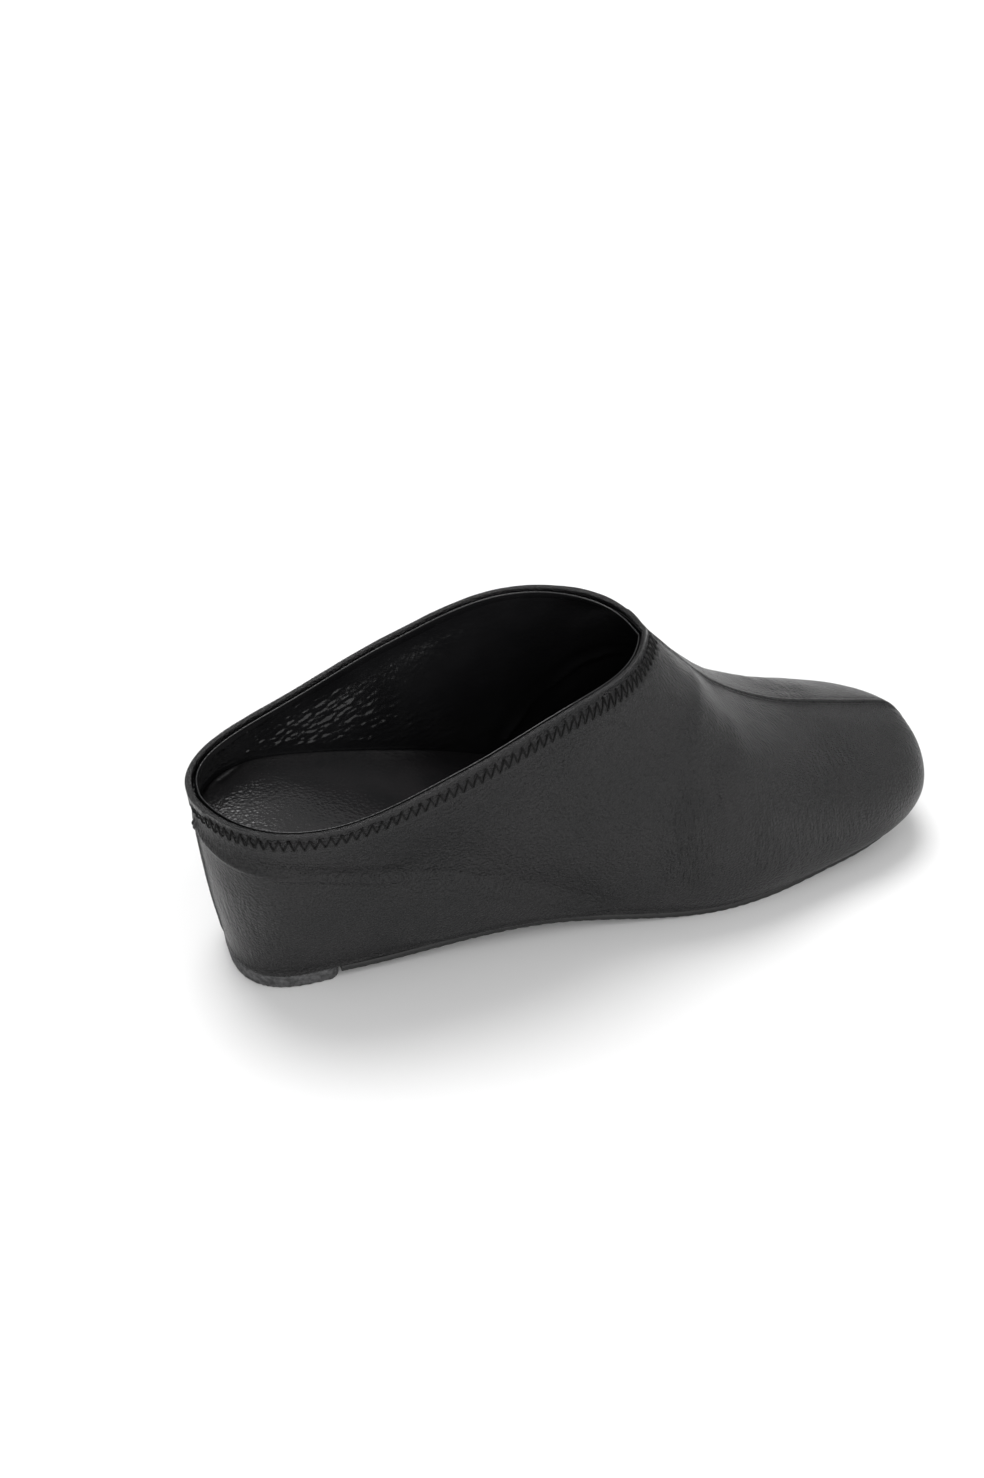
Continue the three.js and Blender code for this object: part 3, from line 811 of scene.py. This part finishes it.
# Creases on the outer side: points, then height and half-width in mm. A height below 0 is a trough.
ridge_by_throat = [
    [164, 1, 72], [162.5, -7, 71], [159, -15, 70], [156, -22, 68], [154, -29, 62], [154, -34, 54],
    [156, -38, 44],
]
trough_by_throat = [
    [173, 2, 63], [171.5, -4, 62.5], [167, -15, 62.5], [164, -24.5, 60], [161, -32.5, 54], [159.5, -38, 45],
    [159, -42, 34],
]
outer_creases = [
    (ridge_by_throat, 0.6, 3.2),
    (trough_by_throat, -0.5, 3.8),
    ([[150, -36, 44], [149, -40, 34], [150, -42, 24]], 0.4, 2.6),
    ([[196, -34, 44], [193, -40, 38], [192, -43, 30]], 0.2, 4.0),
]
# Puckers on the inner side towards the toe, above 30 mm: place along, across and half-width in mm.
inner_puckers = ((191, 22, 4.0), (199, 22, 3.2), (207, 21.5, 4.5), (217, 20, 5.0))


def leather_relief(side):
    """The height of every relief on one half, added up, and the mask of its fine wrinkles."""
    grid = skins[side]
    x, y, z = grid[..., 0], grid[..., 1], grid[..., 2]
    from_top = from_top_of(grid)
    calm = smooth(from_top, 4, 14)
    height = calm * (0.16 * unevenness(grid, 34, 5) + 0.06 * unevenness(grid, 12, 8))
    # The back draws in a little at mid height, and its seam is a groove between two lips.
    back = distance_to(grid, back_seam)
    fade = smooth(z, 6, 12)
    height -= 0.9 * mound(z - 42, 20) * (1 - smooth(back, 6, 40))
    height += fade * (0.62 * mound(back - 0.95, 0.75) - 0.75 * mound(back, 0.4))
    # Along the vamp the outer half ends in a narrow lip and the inner half in a wider one.
    middle_seam = distance_to(grid, vamp_seam)
    if side == OUTER:
        height += 0.35 * mound(middle_seam - 0.85, 0.5) + 0.15 * mound(middle_seam - 3, 2.5)
    else:
        height += 0.45 * mound(middle_seam - 1.4, 0.9) + 0.2 * mound(middle_seam - 4, 2.5)
    height -= 0.7 * mound(middle_seam, 0.38)
    above = z - board_height(x)
    broad = smooth(x, 46, 70) * (1 - smooth(x, 112, 142))
    ridge = 0.75 * (1 - smooth(x, 50, 78)) * mound(above, 1.1)
    hollow = 0.45 * (1 - smooth(x, 50, 78)) * mound(above - 3.4, 2.4)
    # In the waist the board stands out like a shelf, and the leather falls from it to the sole.
    step = smooth(above, -6.5, 3.5)
    shelf = 1.5 * (1 - step) * smooth(z, 3, 12) - 1.1 * step * (1 - smooth(above, 3, 24))
    height += ridge - hollow + broad * shelf
    if side == OUTER:
        for points, depth, width in outer_creases:
            height += depth * mound(distance_to(grid, dense(points)), width)
    else:
        narrower_below = 1 + 3 * (z < 30)
        for pucker_x, pucker_y, size in inner_puckers:
            height += 0.45 * mound(np.hypot(x - pucker_x, (y - pucker_y) / 2) * narrower_below, size)
    # A bead follows the bottom edge, and the thread pulls the leather in at each hole.
    bottom_edge = run_from(grid, 1)
    height += 0.4 * mound(bottom_edge - 0.8, 0.65)
    rows_by_rim = 36
    by_rim = (slice(vamp_start + 1), slice(-rows_by_rim, None))
    holes = distance_to(grid[by_rim], lower_holes)
    height[by_rim] -= 0.25 * mound(holes, 0.7)
    height[by_rim] += 0.08 * mound(holes - 1.6, 0.8)
    height[:vamp_start + 1, -1] = 0
    gathered = smooth(x, 162, 176) * (1 - smooth(x, 205, 226)) * smooth(z, 10, 20) * (1 - smooth(z, 38, 52))
    gathered += smooth(x, 136, 146) * (1 - smooth(x, 153, 162)) * smooth(z, 12, 22) * (1 - smooth(z, 44, 60))
    gathered += 0.5 * (1 - smooth(x, 8, 36)) * smooth(z, 6, 14) * (1 - smooth(z, 36, 46))
    return height, np.clip(gathered, 0, 1)


# %% Both halves as closed shells
for side, name in ((OUTER, "upper_outer_half"), (INNER, "upper_inner_half")):
    height, gathered = leather_relief(side)
    outside = skins[side] + normals[side] * height[..., None]
    inside = skins[side] - normals[side] * leather_thickness
    points, faces = shell(outside, inside)
    half = make_piece(name, points, faces, upper_leather, flip=side == INNER)
    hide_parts("upper")
    set_attribute(half, "wrinkled", [gathered, gathered])
    widest_row = len(lower_places) - 1
    along = np.broadcast_to(run_from(skins[side], 0)[:, widest_row, None], gathered.shape)
    climb = run_from(skins[side], 1)
    set_uv(half, [along, along], [climb, climb])

# %% [markdown]
# The collar's binding
#
# A strip of the same leather is folded over the top edge: a longer leg outside, a round top and a
# shorter leg inside. The strip's ends overlap at the back, where a small step shows. A bevelled curve
# could make the fold, but a section carried along the rim keeps both legs at their own heights.

# %% Binding, carried round the rim
# The top and the inside of the fold, as places out from the rim and up from it.
fold_top = np.array([
    [0.32, -0.45], [0.3, -0.27], [0.2, -0.12], [-0.1, -0.04], [-0.5, 0.01], [-0.9, -0.04], [-1.2, -0.12],
    [-1.34, -0.27], [-1.4, -0.5], [-1.42, -0.9], [-1.42, -1.8], [-1.4, -2.6], [-1.3, -3.0], [-1.0, -3.1],
    [-0.7, -3.2], [-0.4, -3.6], [-0.15, -3.75],
])


def carried(section, run):
    """The section at each place along the rim: out and up from it."""
    points, up, out = ring_at(run)
    across = section[None, :, 0, None] * out[:, None]
    return points[:, None] + across + section[None, :, 1, None] * up[:, None]


binding_sections = 1000
binding_run = np.linspace(0, rim_length, binding_sections, endpoint=False)
leg_shares = np.linspace(0, 1, 14)
leg = outer_face(binding_run, leg_shares)
binding_points = np.concatenate([leg, carried(fold_top, binding_run)], 1)
binding_out = ring_at(binding_run)[2]
share_out = np.concatenate([smooth(leg_shares, 0, 0.25), 1 - smooth(-fold_top[:, 0], 0.5, 1.2)])
# The strip's end laps over its start close to the back seam, with a step that rounds down to the rim.
lap_height = 0.42
from_end = binding_run[:, None] - mix(9.5, 3.0, smooth(-share_out[None], -1, -0.2))
lap = lap_height * (1 - smooth(from_end, 0, 0.7))
lap = np.maximum(lap, lap_height * smooth(binding_run, rim_length - 14, rim_length - 4)[:, None])
# A lower swell starts at the throat and ends in a small step 11 mm past it.
past_seam = (binding_run - ring_run[half_ring])[:, None]
lap = lap + 0.25 * smooth(past_seam, -1, 8) * (1 - smooth(past_seam, 11, 11.6))
dips = distance_to(binding_points, upper_holes)
swell = share_out * (lap - 0.22 * mound(dips, 0.65) + 0.05 * unevenness(binding_points, 9, 3))
binding_points = binding_points + swell[..., None] * binding_out[:, None]
binding_faces = ring_faces(*binding_points.shape[:2])
binding = make_piece("collar_binding_fold", binding_points, binding_faces, folded_leather)
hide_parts("collar_binding")

# %% [markdown]
# The zigzag thread
#
# About 250 strokes are one joined mesh: each is a short tube that dips into a hole at both ends and
# lies on the leather between them. Their centre lines are one array, so the tubes come from it at once.


# %% Thread
def tubes(centres, radius, sides):
    """Tubes along many centre lines at once: lines by points by 3, with closed ends."""
    tangent = unit(np.gradient(centres, axis=1))
    across = unit(np.cross(tangent, np.array([0.3, 0.2, 0.93])))
    third = np.cross(tangent, across)
    turn = 2 * np.pi * np.arange(sides) / sides
    ring = across[:, :, None] * np.cos(turn)[:, None] + third[:, :, None] * np.sin(turn)[:, None]
    points = centres[:, :, None] + radius * ring
    count, steps = centres.shape[:2]
    i, j, k = np.meshgrid(np.arange(count), np.arange(steps - 1), np.arange(sides), indexing="ij")
    base = (i * steps + j) * sides
    following = (k + 1) % sides
    above = base + sides
    walls = np.stack([base + k, base + following, above + following, above + k], -1).reshape(-1, 4)
    start = (np.arange(count) * steps * sides)[:, None] + np.arange(sides)[::-1]
    end = (np.arange(count) * steps * sides + (steps - 1) * sides)[:, None] + np.arange(sides)
    quads = np.array([[0, 1, 2, 3], [0, 3, 4, 5]])
    caps = np.concatenate([start[:, quads].reshape(-1, 4), end[:, quads].reshape(-1, 4)])
    return points.reshape(-1, 3), np.concatenate([walls, caps])


thread_radius = 0.25
stitch_shares = np.array([0, 0.06, 0.16, 0.3, 0.45, 0.6, 0.75, 0.88, 0.95, 1])
stitch_lift = np.array([-0.5, 0.0, 0.14, 0.18, 0.18, 0.18, 0.18, 0.14, 0.0, -0.5])


def stroke(first_run, last_run, first_depth, last_depth):
    """Centre lines from one row of holes to the other, each point on the fold or on the leather."""
    lines = []
    for share, lift in zip(stitch_shares, stitch_lift):
        run, depth = mix(first_run, last_run, share), mix(first_depth, last_depth, share)
        lines.append(on_shoe(run, depth) + lift * ring_at(run)[2])
    return np.stack(lines, 1)


downward = stroke(hole_runs, lower_runs, upper_depths, lower_depths)
upward = stroke(lower_runs, hole_runs + 2 * half_pitch, lower_depths, np.roll(upper_depths, -1))
thread_points, thread_faces = tubes(np.concatenate([downward, upward]), thread_radius, 6)
make_piece("collar_zigzag_thread", thread_points, thread_faces, thread_material)

# %% [markdown]
# The lining
#
# Inside, a skin of 0.6 mm covers the wall from the sole to a rolled edge just below the rim, where it
# shows as a thin bright line beside the binding. It was glued down by hand, so it has crinkles above
# the bed and a few long folds.

# %% Lining of both halves
lining_collar = crowded(250, (0, 0.03, 1))
lining_vamp = crowded(50, (1, 0.06, 3))
lining_lower = crowded(36)
lining_upper = crowded(96, (1, 0.1, 1))
lining_skins = {s: skin(s, lining_collar, lining_vamp, lining_lower, lining_upper) for s in (OUTER, INNER)}
lining_normals = both_normals({s: (lining_skins[s], len(lining_collar) - 1) for s in lining_skins})


# A fold that runs up the lining on the inner side, under the instep.
lining_fold = dense([
    [114, 40, 30], [120, 40.5, 36], [126, 41, 42], [136, 42, 48.5], [142.5, 41.7, 53.5], [149.5, 40.7, 56.6],
    [156, 38.5, 57.2],
])


def lining_relief(side):
    """How far the lining stands off the wall: crinkles above the bed, one long fold, and the rim."""
    grid = lining_skins[side]
    x, z = grid[..., 0], grid[..., 2]
    over_bed = z - bed(x)
    crinkled = smooth(over_bed, 0.5, 3) * (1 - smooth(over_bed, 10, 24)) * (1 - smooth(x, 100, 145))
    crinkled += 0.1 * smooth(over_bed, 1.0, 4)
    stretched = grid * np.array([0.6, 1, 1.5])
    height = crinkled * (0.2 * np.abs(unevenness(stretched, 2.3, 21)) + 0.12 * unevenness(grid, 1.6, 22))
    height += 0.12 * unevenness(grid, 40, 23)
    if side == INNER:
        off = distance_to(grid, lining_fold)
        rough = 1 + 0.35 * unevenness(grid, 4, 24)
        height += 1.2 * mound(off, 1.1) * rough - 0.5 * mound(off - 4, 2.5)
    below_rim = from_top_of(grid)
    by_rim = np.zeros(len(grid))
    by_rim[:len(lining_collar)] = 1
    return height + by_rim[:, None] * 0.8 * mound(below_rim, 3.2)


for side, name in ((OUTER, "lining_outer_half"), (INNER, "lining_inner_half")):
    base, outward = lining_skins[side], lining_normals[side]
    outside = base - outward * (leather_thickness + 0.1)
    inside = base - outward * (wall + np.maximum(lining_relief(side), -0.4))[..., None]
    points, faces = shell(outside, inside)
    half = make_piece(name, points, faces, lining_leather, flip=side == INNER)
    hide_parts("upper")

# %% Rolled edge of the lining
edge_turn = np.pi * np.arange(9) / 8
bead_radius = 0.3
bead = np.array([-2.78, -1.05]) + bead_radius * np.stack([-np.cos(edge_turn), np.sin(edge_turn)], -1)
tail = np.array([
    [-2.5, -1.5], [-2.3, -2.2], [-1.8, -3.2], [-1.7, -4.6], [-2.1, -4.8], [-2.6, -3.6], [-2.95, -2.4],
    [-3.1, -1.5],
])
edge_section = np.concatenate([bead, tail])
bead_sections = 700
edge_points = carried(edge_section, np.linspace(0, rim_length, bead_sections, endpoint=False))
make_piece(
    "lining_rolled_edge", edge_points, ring_faces(*edge_points.shape[:2]), lining_leather,
)

# %% [markdown]
# The insole
#
# A padded sock: thin skin over foam, cupped towards its edges and rolled under along them. It is 3.4 mm
# thick, thinner than the voxels a cloth simulation of it would need, so its crown, its rolled edge and
# its pinched crease are worked out. Its outline is where the lining crosses the height of the bed.


# %% Outline and surface of the bed
def wall_crossing(side, clearance):
    """For each rib of the lining, the point where it crosses the bed's height, moved off the wall."""
    grid = lining_skins[side] - lining_normals[side] * wall
    over = grid[..., 2] - bed(grid[..., 0])
    row = np.argmax(over > 0, axis=1)
    ribs = np.arange(len(grid))
    below, above = over[ribs, row - 1], over[ribs, row]
    share = (-below / (above - below))[:, None]
    point = mix(grid[ribs, row - 1], grid[ribs, row], share)
    spine_x = np.clip(point[:, 0], 0.14 * length, 0.84 * length)
    inward = np.stack([spine_x, middle_line(spine_x), 0 * spine_x], -1) - point * np.array([1, 1, 0])
    return point + unit(inward) * clearance


def cup(x, from_edge):
    """The bed rises towards its edges, most at the heel, from a clear line some way in."""
    height = mix(0.9, 0.6, smooth(x / length, 0.2, 0.6))
    return height * np.maximum(1 - from_edge / 7, 0) ** 2


def slab(outer_line, inner_line, across, top_at, bottom_at):
    """A closed slab between two lines: a top grid and a bottom grid, joined round their border."""
    grid = mix(outer_line[:, None], inner_line[:, None], across[None, :, None])
    border = np.concatenate([outer_line, inner_line[::-1]])
    border = np.concatenate([border, border[:1]])
    from_edge = distance_to(grid, dense_straight(border), (1, 1, 0))
    top, bottom = grid.copy(), grid.copy()
    top[..., 2] = top_at(grid[..., 0], grid[..., 1], from_edge)
    bottom[..., 2] = bottom_at(grid[..., 0], grid[..., 1], from_edge)
    return shell(top, bottom)


def rolled(from_edge, radius):
    """How far a rounded edge drops: a quarter circle of this radius."""
    left = 1 - np.clip(from_edge / radius, 0, 1)
    return radius * (1 - np.sqrt(1 - left**2))


# %% Insole
edge_radius = 1.5
pinch_line = dense([[11.5, 19.5, 0], [15, 22, 0], [19.5, 25.5, 0]])


def insole_top(x, y, from_edge):
    """Bed height plus the cup, less the rolled edge, with soft hollows and one pinched crease."""
    place = np.stack([x, y, 0 * x], -1)
    soft = 0.12 * unevenness(place, 40, 31) + 0.03 * unevenness(place, 14, 32)
    crease = distance_to(place, pinch_line)
    return bed(x) + cup(x, from_edge) - rolled(from_edge, edge_radius) + soft - 0.5 * mound(crease, 0.8)


def insole_bottom(x, y, from_edge):
    """Parallel to the top, one thickness lower."""
    return bed(x) + cup(x, from_edge) - insole_thickness + 0.3 * rolled(from_edge, edge_radius)


bed_lines = [wall_crossing(side, 0.3)[2:-2] for side in (OUTER, INNER)]
across = crowded(56, (0, 0.05, 4), (1, 0.05, 4))
points, faces = slab(*bed_lines, across, insole_top, insole_bottom)
insole = make_piece("insole_pad", points, faces, sock_leather)
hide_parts("insole")

# %% [markdown]
# Outsole and heel piece
#
# The outsole is a flat sheet with its edge trimmed and lightly rounded, from the heel's breast to the
# toe. The heel piece is thicker, with a straight breast and a broken lower edge.


# %% Outsole
def sole_line(x, side):
    """The sole's edge at each x: the outline's half-width at the same share of its length."""
    share = (x - sole_setback_heel) / (length - sole_setback_heel - sole_setback_toe)
    t = np.arccos(np.clip(1 - 2 * share, -1, 1)) / np.pi
    return np.stack([x, outline(t, side, True)[1], 0 * x], -1)


def sheet_faces(underside, thickness, lower_radius, upper_radius):
    """The upper and the lower face of a sheet with rounded edges, each from x, y and the distance in."""
    def upper(x, y, from_edge):
        return underside(x) + thickness - rolled(from_edge, upper_radius)

    def lower(x, y, from_edge):
        return underside(x) + rolled(from_edge, lower_radius)

    return upper, lower


sheet_radius = 0.5
breast_x = heel_breast_at * length
toe_x = length - sole_setback_toe
sole_x = mix(breast_x + gap, toe_x - 0.02, crowded(220, (1, 0.03, 12), (0, 0.01, 8)))
sole_across = crowded(40, (0, 0.03, 8), (1, 0.03, 8))
sole_lines = [sole_line(sole_x, side) for side in (OUTER, INNER)]
sole_faces = sheet_faces(ground_line, outsole_thickness, sheet_radius, sheet_radius)
points, faces = slab(*sole_lines, sole_across, *sole_faces)
outsole = make_piece("outsole_sheet", points, faces, sole_rubber)
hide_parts("outsole")

# %% Heel piece
corner_radius = 4.0
lower_break = 0.9
upper_break = 0.4


def heel_line(x, side):
    """The sole's line, drawn in near the breast by a quarter circle."""
    line = sole_line(x, side)
    half_width = np.abs(line[:, 1] - middle_line(x))
    line[:, 1] -= side * np.minimum(rolled(breast_x - x, corner_radius), half_width)
    return line


def flat_ground(x):
    """The heel piece lies flat on the ground."""
    return 0 * x


heel_x = mix(sole_setback_heel + 0.02, breast_x, crowded(90, (0, 0.04, 12), (1, 0.04, 8)))
heel_lines = [heel_line(heel_x, side) for side in (OUTER, INNER)]
heel_faces = sheet_faces(flat_ground, heel_piece_thickness, lower_break, upper_break)
points, faces = slab(*heel_lines, sole_across, *heel_faces)
heel_piece = make_piece("heel_rubber_piece", points, faces, heel_rubber)
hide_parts("heel_top_piece")

# %% [markdown]
# Floor, light and camera
#
# The shoe stands on a plain white floor in a white room. A bright even surround is what gives black
# leather its shape: it mirrors the room softly, and more towards its outline. The lamp above and
# behind draws the bright lines along the folds, and leaves the floor before the shoe in soft shadow.
# The camera stands where the photograph was taken from.

# %% Floor and light
floor_mesh = bpy.data.meshes.new("floor")
reach = 4.0
corners = [(-reach, -reach, 0), (reach, -reach, 0), (reach, reach, 0), (-reach, reach, 0)]
floor_mesh.from_pydata(corners, [], [(0, 1, 2, 3)])
floor = bpy.data.objects.new("floor", floor_mesh)
bpy.context.scene.collection.objects.link(floor)
paper = bpy.data.materials.new("white_paper_sweep")
paper.use_nodes = True
paper_shader = paper.node_tree.nodes["Principled BSDF"]
paper_shader.inputs["Base Color"].default_value = linear("#dcdcdc")
paper_shader.inputs["Roughness"].default_value = 0.9
floor_mesh.materials.append(paper)

world = bpy.data.worlds.new("white_room")
bpy.context.scene.world = world
world.use_nodes = True
sky = world.node_tree
sky.nodes.clear()
way = add(sky, "ShaderNodeTexCoord").outputs["Generated"]


def facing(aim):
    """How much each direction points the way of aim: their product."""
    return add(sky, "ShaderNodeVectorMath", {0: way, 1: aim}, operation="DOT_PRODUCT").outputs["Value"]


def brightness(value, start, stop, low, high, ramp="LINEAR"):
    """Turns a value that runs from start to stop into a brightness from low to high."""
    sockets = {"Value": value, "From Min": start, "From Max": stop, "To Min": low, "To Max": high}
    return add(sky, "ShaderNodeMapRange", sockets, interpolation_type=ramp).outputs["Result"]


# The walls are brightest behind the camera and dimmest across the shoe from it.
to_camera = facing((-0.15, -0.989, 0.0))
walls = brightness(to_camera, -1, 1, 0.45, 1.2)
# The wall to the right of the toe is dim near the floor.
dim = brightness(facing((1.0, 0.0, -0.8)), 0.35, 1, 1, 0.3)
# Windows behind the camera fade out between about 15 and 33 degrees above the horizon.
height = add(sky, "ShaderNodeSeparateXYZ", {"Vector": way}).outputs["Z"]
low_down = brightness(height, 0.55, 0.25, 0, 1.3, "SMOOTHSTEP")
windows = product(sky, low_down, brightness(to_camera, 0.3, 0.8, 0, 1))
light = add(sky, "ShaderNodeMath", {0: walls, 1: dim, 2: windows}, operation="MULTIPLY_ADD").outputs["Value"]
# One soft lamp hangs above and behind the shoe, and a wider, weaker one to the right of the toe.
lamps = [((0.02, 0.44, 0.898), 0.945, 0.975, 10.0), ((0.75, -0.25, 0.612), 0.9, 0.98, 1.0)]
for aim, edge, core, strength in lamps:
    lamp = brightness(facing(aim), edge, core, 0, strength, "SMOOTHSTEP")
    light = add(sky, "ShaderNodeMath", {0: light, 1: lamp}, operation="ADD").outputs["Value"]
room = add(sky, "ShaderNodeBackground", {"Color": linear("#ffffff"), "Strength": light})
add(sky, "ShaderNodeOutputWorld", {"Surface": room.outputs["Background"]})

# %% Camera
# The place it looks at, in mm on the last, and where it stands round that place.
look_at = np.array([109.8, 40.0, 30.2])
camera_azimuth = math.radians(-19.99)
camera_elevation = math.radians(36.14)
camera_distance = 545.0
lens = 38.15
back_way = np.array([
    math.sin(camera_azimuth) * math.cos(camera_elevation),
    -math.cos(camera_azimuth) * math.cos(camera_elevation),
    math.sin(camera_elevation),
])
camera_data = bpy.data.cameras.new("camera")
camera_data.sensor_fit = "AUTO"
camera_data.sensor_width = 36.0
camera_data.lens = lens
camera_data.clip_start = 0.01
camera = bpy.data.objects.new("camera", camera_data)
camera.location = to_frame(look_at + back_way * camera_distance).tolist()
camera.rotation_euler = Vector((-back_way).tolist()).to_track_quat("-Z", "Y").to_euler()
bpy.context.scene.collection.objects.link(camera)
bpy.context.scene.camera = camera
bpy.context.scene.view_settings.view_transform = "Standard"
